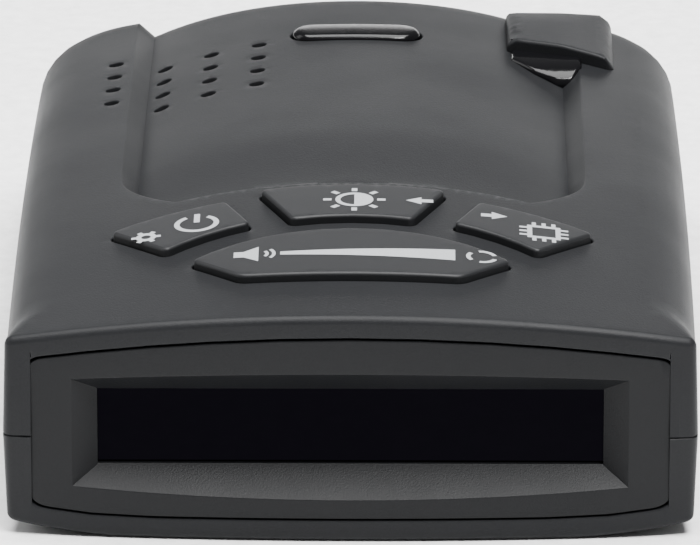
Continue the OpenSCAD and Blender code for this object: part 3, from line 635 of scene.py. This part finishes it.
def on_front(x, y):
    return y < FRONT_CORNER_Y + 0.1 and abs(x) < side_x(FRONT_Y) - FRONT_CORNER_R + 0.15


def on_rear(x, y):
    return y > REAR_Y - 1.5 and abs(x) < PANEL_HW + 0.5


def rim_line(upper, d):
    """Corner points of half the opening for the bezel, d inside the case's outer edge."""
    hw = CASE_HW - 0.4 - d
    xs = [hw, 30, 26, 20, 14, 7, 0, -7, -14, -20, -26, -30, -hw]
    if upper:
        points = [(hw, PART_Z)] + [(x, crown(x, FRONT_Y) - d) for x in xs] + [(-hw, PART_Z)]
        r = 1.9
    else:
        points = [(hw, PART_Z)] + [(x, belly(x) + max(0, d)) for x in xs] + [(-hw, PART_Z)]
        r = 2.2
    radii = [0, r] + [0] * 11 + [r, 0]
    out = []
    for i, p in enumerate(points):
        if radii[i]:
            out += corner(points[i - 1], p, points[i + 1], radii[i], 6)
        else:
            out.append(p)
    return out


def rim_opening(upper, d):
    """Half of the opening, from its right end at the parting line to its left.

    It has the same number of points for any d."""
    line, like = rim_line(upper, d), rim_line(upper, RIM_W)
    out = []
    for a, b, p, q in zip(line, line[1:], like, like[1:]):
        n = max(1, round(hypot(q[0] - p[0], q[1] - p[1]) / 1.6))
        out += [(a[0] + (b[0] - a[0]) * i / n, a[1] + (b[1] - a[1]) * i / n) for i in range(n)]
    return out + [line[-1]]


def face_y(x, z):
    return FRONT_Y + x * x / (2 * FRONT_BULGE_R) + DRAFT * abs(z - PART_Z)


def front_face(skin, wall_start, wall_end, upper):
    """The rim round the bezel: its face, its rolled inner edge and its wall."""
    edge, notch_z = 0.22, wall_start[0][2]
    rows = []
    for back, d in ((0, RIM_W - edge), (0.06, RIM_W - edge * 0.35), (edge, RIM_W)):
        line = [(x, notch_z if z == PART_Z else z) for x, z in rim_opening(upper, d)]
        rows.append([(x, face_y(x, z) + back, z) for x, z in line])
    rows.append([(x, FRONT_Y + 5, z) for x, y, z in rows[-1]])
    start, outer = span_of(wall_start, on_front), span_of(wall_end, on_front)
    loop = start[:1] + outer + start[-1:] + rows[0]
    skin.sheet(loop, lift=lambda x, z: (x, face_y(x, z), z), step=1.6, axes=(0, 2))
    skin.strips(rows, closed=False)


def key_names():
    return ("power", "brightness", "mode", "volume")


def upper_case():
    skin = Skin()
    rows = [shoulder_row(q) for q in (0, 15, 30, 45, 60, 75, 90)]
    skin.strips(rows)
    edge = wall_row(PART_Z + 0.14)
    notch = wall_row(PART_Z + 0.02, 0.12)
    behind_bezel(skin, [wall_row(PART_Z + 0.02, 0.7), notch, edge])
    for first, second in zip(on_side(edge), on_side(rows[0])):
        skin.strip(first, second, closed=False)
    rear_wall(skin, edge, rows[0])
    front_face(skin, edge, rows[0], True)

    foot = panel_foot()
    walls = [
        at(foot, panel),
        at(spread(foot, 0), lambda x, y: crown(x, y) - 0.2),
        at(spread(foot, 0.1), lambda x, y: crown(x, y) - 0.06),
        at(spread(foot, 0.28), crown),
    ]
    rim = rows[-1]
    ends = {round(x, 2): (x, y, z) for x, y, z in rim if y > REAR_Y - 8}
    lines = []
    for row, x in zip(walls, (PANEL_HW - PANEL_WALL, PANEL_HW, PANEL_HW + 0.1, PANEL_HW + 0.28)):
        lines.append([ends[round(x, 2)]] + row + [ends[round(-x, 2)]])
    holes, pits = [], []
    for name in key_names():
        pits.append(lip(key_outline(name), crown, BUTTON_LIP_R))
    pits.append(lip(pill_outline(KEY_GAP), panel, BUTTON_LIP_R))
    for x, y in HOLE_COLUMNS:
        for i in (-1.5, -0.5, 0.5, 1.5):
            ground = panel if abs(x) < PANEL_HW - PANEL_WALL else crown
            pits.append(lip(circle((x, y + i * HOLE_PITCH), HOLE_R), ground, HOLE_LIP_R))
    for pit in pits:
        holes.append(pit[0])
        skin.strips(pit + [[(x, y, z - 1.7) for x, y, z in pit[-1]]])
    bowl = [p[:2] for p in lines[0]]

    def lift(x, y):
        within = inside(np.array([(x, y)]), bowl)[0]
        return x, y, panel(x, y) if within else crown(x, y)

    skin.sheet(rim, holes, lines, lift, step=1.1, bare=(lines[0], lines[-1]))
    return skin.make("upper_case_shell", "case", "case_plastic", "upper_case", sharp=55)


def behind_bezel(skin, rows):
    """Strips between closed wall rows, left out across the display end."""
    plan = plan_outline()
    for first, second in zip(rows, rows[1:]):
        for i, k in zip(range(-1, len(plan) - 1), range(len(plan))):
            if not (on_front(*plan[i]) and on_front(*plan[k])):
                skin.strip([first[i], first[k]], [second[i], second[k]], closed=False)


def on_side(row):
    """The two stretches of a wall row between its front face and its rear face."""
    plan = plan_outline()
    n = len(row)
    right = [i for i in range(n) if not on_front(*plan[i]) and not on_rear(*plan[i]) and plan[i][0] > 0]
    left = [i for i in range(n) if not on_front(*plan[i]) and not on_rear(*plan[i]) and plan[i][0] < 0]
    out = []
    for picked in (right, left):
        run = [picked[0] - 1] + picked + [(picked[-1] + 1) % n]
        out.append([row[i] for i in run])
    return out


def rear_wall(skin, low, high):
    """The rear face with the openings for the bracket and for the forward sensor's window."""
    bottom, top = span_of(low, on_rear), span_of(high, on_rear)

    def back(x, z):
        return x, REAR_Y - x * x / (2 * REAR_BULGE_R) - DRAFT * (z - PART_Z), z

    openings = [box_loop(-SLOT_W / 2 - 0.3, SLOT_Z - 0.2, SLOT_W / 2 + 0.3, SLOT_Z + SLOT_H + 0.2, 0.4),
                box_loop(*(FRONT_LENS[0][0] - 0.15, FRONT_LENS[1][0] - 0.15),
                         *(FRONT_LENS[0][1] + 0.15, FRONT_LENS[1][1] + 0.15), 0.5)]
    holes = []
    for loop in openings:
        rows = [[back(x, z) for x, z in inset(loop, -0.15)],
                [(x, y - 0.05, z) for x, y, z in (back(x, z) for x, z in inset(loop, -0.05))],
                [(x, y - 0.15, z) for x, y, z in (back(x, z) for x, z in loop)]]
        rows.append([(x, y - 1.6, z) for x, y, z in rows[-1]])
        holes.append(rows[0])
        skin.strips(rows)
    skin.sheet(bottom + top[::-1], holes, lift=back, step=2, axes=(0, 2))


# --- Lower case -------------------------------------------------------------------------------------
def lower_radius(y):
    front = smooth((y - FRONT_CORNER_Y - 0.5) / 6)
    rear = smooth((REAR_Y - 1 - y) / 8)
    return 0.6 + (LOWER_EDGE_R - 0.6) * front * rear


def lower_row(q):
    row = []
    for p, way in zip(*case_ways()):
        r = lower_radius(p[1])
        lean = DRAFT * (PART_Z - r) + r * (1 - cos(radians(q)))
        x, y = np.array(p) + way * lean
        row.append((x, y, belly(x) + r * (1 - sin(radians(q)))))
    return row


def by_connectors(x, y):
    return x > 0 and -27 < y < -1


def lower_case():
    skin = Skin()
    rows = [lower_row(q) for q in (0, 18, 36, 54, 72, 90)]
    skin.strips(rows)
    edge = wall_row(PART_Z - 0.14)
    behind_bezel(skin, [wall_row(PART_Z - 0.02, 0.7), wall_row(PART_Z - 0.02, 0.12), edge])
    plan = plan_outline()
    n = len(plan)
    near = [by_connectors(*p) for p in plan]
    for i in range(n):
        k = (i + 1) % n
        front = on_front(*plan[i]) and on_front(*plan[k])
        if front or (near[i] and near[k]):
            continue
        skin.strip([edge[i], edge[k]], [rows[0][i], rows[0][k]], closed=False)
    connector_wall(skin, [edge[i] for i in range(n) if near[i]], [rows[0][i] for i in range(n) if near[i]])
    front_face(skin, edge, rows[0], False)

    holes = []
    for x, y in POSTS:
        ring = circle((x, y), 2.5, 32)
        wide = at(inset(ring, -0.15), lambda u, v: belly(u))
        deep = [at(inset(ring, -0.04), lambda u, v: belly(u) + 0.05), at(ring, lambda u, v: belly(u) + 0.15),
                at(ring, 5.5)]
        holes.append(wide)
        skin.strips([wide] + deep)
        skin.sheet(deep[-1])
    label = box_loop(*LABEL, 1.2)
    step = [at(inset(label, -0.1), 0.0), at(label, 0.08), at(label, 0.35)]
    holes.append(step[0])
    skin.strips(step)
    skin.sheet(step[-1], lift=lambda x, y: (x, y, 0.35), step=4)
    skin.sheet(rows[-1], holes, lift=lambda x, y: (x, y, belly(x)), step=1.6)
    return skin.make("lower_case_shell", "case", "case_plastic", "lower_case")


def connector_wall(skin, high, low):
    """The stretch of the right wall with the openings for the power plug and the data plug."""
    def side(y, z):
        return side_x(y) - DRAFT * (PART_Z - z), y, z

    openings = [circle((JACK_Y, JACK_Z), SNOUT_R + 0.15, 40),
                box_loop(USB_Y - 4.1, 5.3, USB_Y + 4.1, 8.7, 0.6, 1)]
    holes = []
    for loop in openings:
        rows = [[side(*p) for p in inset(loop, -0.15)],
                [(x - 0.05, y, z) for x, y, z in (side(*p) for p in inset(loop, -0.04))],
                [(x - 0.15, y, z) for x, y, z in (side(*p) for p in loop)]]
        rows.append([(x - 1.7, y, z) for x, y, z in rows[-1]])
        holes.append(rows[0])
        skin.strips(rows)
    skin.sheet(high + low[::-1], holes, lift=side, step=1.5, axes=(1, 2))


# --- Hood, lenses and release button ----------------------------------------------------------------
def hood():
    plan = [(HOOD_X[0], 34.3), (HOOD_X[1], 30.5), (HOOD_X[1], 48), (HOOD_X[0], 48)]
    loop = dense(rounded(plan, [0.35, 0.8, 1.6, 1.2], 5), 0.8)
    skin = cap(loop, hood_top, 0.42, [(-0.05, 19.5)], fill=0.8)
    skin.make("rear_sensor_hood", "case", "case_plastic", "upper_case")


def rear_lens():
    plan = [(16.9, 31.2), (19.4, 28.5), (21.8, 27.4), (23.6, 27.4), (24.6, 29.6), (24.6, 34.4), (16.9, 34.4)]
    loop = dense(rounded(plan, [0.5, 1.2, 1.2, 0.7, 1.4, 0.2, 0.2], 5), 0.6)
    skin = cap(loop, lens_top, 0.4, [(-0.05, 19.4)], fill=0.6)
    skin.make("rear_sensor_lens", "case", "gloss_black", "rear_laser_lens")


def release_button():
    def top(x, y):
        return 26.5 - 0.0035 * x * x - 0.02 * (y - PILL_Y) ** 2
    flange = 22.2
    skin = cap(pill_outline(0), top, 0.75, [(0, 23), (-0.9, 23), (-0.9, flange)], steps=8, fill=0.7)
    skin.make("release_button_cap", "release", "gloss_black", "release_button")


def forward_window():
    (x0, x1), (z0, z1) = FRONT_LENS
    loop = box_loop(x0, z0, x1, z1, 0.45, 1)
    skin = Skin()
    face = 51.4
    rows = [[(x, face, z) for x, z in inset(loop, 0.3)],
            [(x, face - 0.09, z) for x, z in inset(loop, 0.09)],
            [(x, face - 0.3, z) for x, z in loop],
            [(x, 49.3, z) for x, z in loop],
            [(x, 49.3, z) for x, z in inset(loop, -0.7)],
            [(x, 48.4, z) for x, z in inset(loop, -0.7)]]
    skin.sheet(rows[0], lift=lambda x, z: (x, face, z), step=1.2, axes=(0, 2))
    skin.strips(rows)
    skin.sheet(rows[-1], axes=(0, 2))
    skin.make("forward_sensor_window", "case", "lens_tint", "front_laser_lens")


# --- Bezel ------------------------------------------------------------------------------------------
def bezel_loop(d):
    """The bezel's outline seen from the front, counter-clockwise."""
    upper = rim_opening(True, d)
    lower = rim_opening(False, d)
    return upper[:-1] + lower[::-1][:-1]


def bezel():
    skin = Skin()
    window_y = FRONT_Y + RECESS_DEPTH
    hx, hz = WINDOW[0] / 2, WINDOW[1] / 2
    lean_z = (RECESS[1] / 2 - hz) / RECESS_DEPTH

    def face(x):
        return FRONT_Y + 0.3 + x * x / (2 * FRONT_BULGE_R)

    corner_z = hz + lean_z * (window_y - face(RECESS_EDGE_X))
    inner, outer = [], []
    count = 18
    for i in range(count + 1):
        s = -1 + 2 * i / count
        x = s * RECESS_EDGE_X
        inner.append((s * hx, -hz))
        outer.append((x, -(hz + lean_z * (window_y - face(x)))))
    for i in range(1, 6):
        s = -1 + 2 * i / 6
        inner.append((hx, s * hz))
        outer.append((RECESS_EDGE_X, s * corner_z))
    inner += [(-x, -z) for x, z in inner]
    outer += [(-x, -z) for x, z in outer]
    recess = [(x, WINDOW_Z + z) for x, z in outer]
    rows = []
    for d, back in ((-0.16, 0), (-0.05, 0.03), (0.03, 0.1)):
        rows.append([(x, face(x) + back, z) for x, z in inset(recess, d)])
    rows.append([(x * 0.996, window_y - 0.06, WINDOW_Z + z * 1.02) for x, z in inner])
    rows.append([(x, window_y + 0.03, WINDOW_Z + z) for x, z in inner])
    rows.append([(x, window_y + 0.5, WINDOW_Z + z) for x, z in inner])
    wide = []
    for d, back in ((RIM_W + 0.32, 0), (RIM_W + 0.22, 0.04), (RIM_W + 0.18, 0.16)):
        wide.append([(x, face(x) + back, z) for x, z in bezel_loop(d)])
    deep = window_y + 1.2
    wide.append([(x, deep, z) for x, y, z in wide[-1]])
    skin.sheet(wide[0], [rows[0]], lift=lambda x, z: (x, face(x), z), step=1.5, axes=(0, 2))
    skin.strips(rows)
    skin.strips(wide)
    pocket = [(x * POCKET[0] / hx, z * POCKET[1] / hz) for x, z in inner]
    back_rows = [rows[-1], [(x, window_y + 0.5, WINDOW_Z + z) for x, z in pocket],
                 [(x, deep, WINDOW_Z + z) for x, z in pocket]]
    skin.strips(back_rows)
    skin.sheet(wide[-1], [back_rows[-1]], axes=(0, 2))
    skin.make("display_bezel_frame", "case", "bezel_plastic", "display_bezel", sharp=25)


# --- Keys and their printed signs -------------------------------------------------------------------
def keys():
    for name in key_names():
        loop = inset(key_outline(name), KEY_GAP)
        def skirt(x, y):
            return crown(x, y) - 2.1
        def bottom(x, y):
            return crown(x, y) - 2.9
        lower = [(0, skirt), (-1.05, skirt), (-1.05, bottom)]
        skin = cap(loop, key_top, 0.36, lower, fill=1.0)
        skin.make(name + "_key_cap", name, "key_plastic", name + "_key")


def bar(start, end, width):
    way = np.array(end, float) - start
    side = np.array((-way[1], way[0])) / hypot(*way) * width / 2
    return [tuple(np.array(p) + s * side) for p, s in ((start, -1), (end, -1), (end, 1), (start, 1))]


def ring_part(centre, r_in, r_out, start=0, end=360, count=28):
    inner = arc(centre, r_in, end, start, count)
    return arc(centre, r_out, start, end, count) + inner


def arrow(tail, head, width, tip):
    """A straight arrow: a bar and a triangle of width and length tip."""
    way = (np.array(head, float) - tail) / hypot(head[0] - tail[0], head[1] - tail[1])
    side = np.array((-way[1], way[0]))
    neck = np.array(head) - way * tip
    return [tuple(p) for p in (tail - side * width / 2, neck - side * width / 2, neck - side * tip * 0.62,
                               np.array(head), neck + side * tip * 0.62, neck + side * width / 2,
                               tail + side * width / 2)]


def printed(name, body, shapes):
    """Thin printed marks on a curved top: each shape is one closed outline."""
    skin = Skin()
    for shape in shapes:
        loop = dense([tuple(map(float, p)) for p in shape], 0.7)
        rows = [at(loop, lambda x, y: key_top(x, y) + INK), at(loop, lambda x, y: key_top(x, y) - INK)]
        skin.sheet(rows[0], lift=lambda x, y: (x, y, key_top(x, y) + INK), step=0.7)
        skin.strips(rows)
        skin.sheet(rows[1], lift=lambda x, y: (x, y, key_top(x, y) - INK), step=0.7)
    skin.make(name, body, "label_film")


def legends():
    sun = (0.2, -22.0)
    rays = [bar(*[(sun[0] + r * cos(radians(a)), sun[1] + r * sin(radians(a))) for r in (2.35, 3.2)], 0.57)
            for a in range(0, 360, 45)]
    half_disc = arc(sun, 1.95, -90, 90, 20)
    hollow = ring_part(sun, 1.45, 1.95, 90, 270, 20)
    printed("brightness_sign", "brightness", rays + [half_disc, hollow, arrow((8.3, -22.0), (5.5, -22.0),
                                                                              0.8, 1.6)])
    power = (-15.9, -27.1)
    broken = ring_part(power, 1.75, 2.3, 122, 418, 32)
    gear = (-21.0, -29.6)
    teeth = [bar(*[(gear[0] + r * cos(radians(a)), gear[1] + r * sin(radians(a))) for r in (1.0, 1.5)], 0.5)
             for a in range(0, 360, 60)]
    printed("power_sign", "power", teeth + [ring_part(gear, 0.5, 1.05, 0, 359), broken,
                                            bar((power[0], power[1] + 0.3), (power[0], power[1] + 2.6), 0.6)])
    chip = (19.6, -28.4)
    legs = [bar((chip[0] + s * 1.6, chip[1] + k), (chip[0] + s * 2.5, chip[1] + k), 0.42)
            for s in (-1, 1) for k in (-1, 0, 1)]
    legs += [bar((chip[0] + k, chip[1] + s * 1.6), (chip[0] + k, chip[1] + s * 2.5), 0.42)
             for s in (-1, 1) for k in (-1, 0, 1)]
    frame_bars = [bar((chip[0] - 1.7, chip[1] + s * 1.45), (chip[0] + 1.7, chip[1] + s * 1.45), 0.5)
                  for s in (-1, 1)]
    frame_bars += [bar((chip[0] + s * 1.45, chip[1] - 1.2), (chip[0] + s * 1.45, chip[1] + 1.2), 0.5)
                   for s in (-1, 1)]
    printed("mode_sign", "mode", legs + frame_bars + [arrow((13.2, -25.0), (15.9, -25.0), 0.8, 1.6)])
    y = -36.6
    horn = [(-11.9, y - 0.7), (-10.9, y - 0.7), (-9.4, y - 1.9), (-9.4, y + 1.9), (-10.9, y + 0.7),
            (-11.9, y + 0.7)]
    wedge = [(-7.2, y - 0.4), (10.5, y - 1.4), (10.5, y + 1.4), (-7.2, y + 0.4)]
    turning = [ring_part((13.2, y), 1.15, 1.6, a, a + 82, 10) for a in (20, 140, 260)]
    waves = [ring_part((-9.6, y), r, r + 0.35, -38, 38, 8) for r in (0.9, 1.6)]
    printed("volume_sign", "volume", [horn, wedge] + turning + waves)


# --- Carried-over nodes -----------------------------------------------------------------------------
def dress_nodes():
    slots = {row["node"]: row["material_slot"] for row in frame["record"]["subparts"]}
    for node, piece in frame["nodes"].items():
        piece.data.materials.clear()
        piece.data.materials.append(MATERIALS[slots[node]])


make_camera()
make_studio()
MATERIALS = make_materials()
dress_nodes()
upper_case()
lower_case()
hood()
rear_lens()
release_button()
forward_window()
bezel()
keys()
legends()
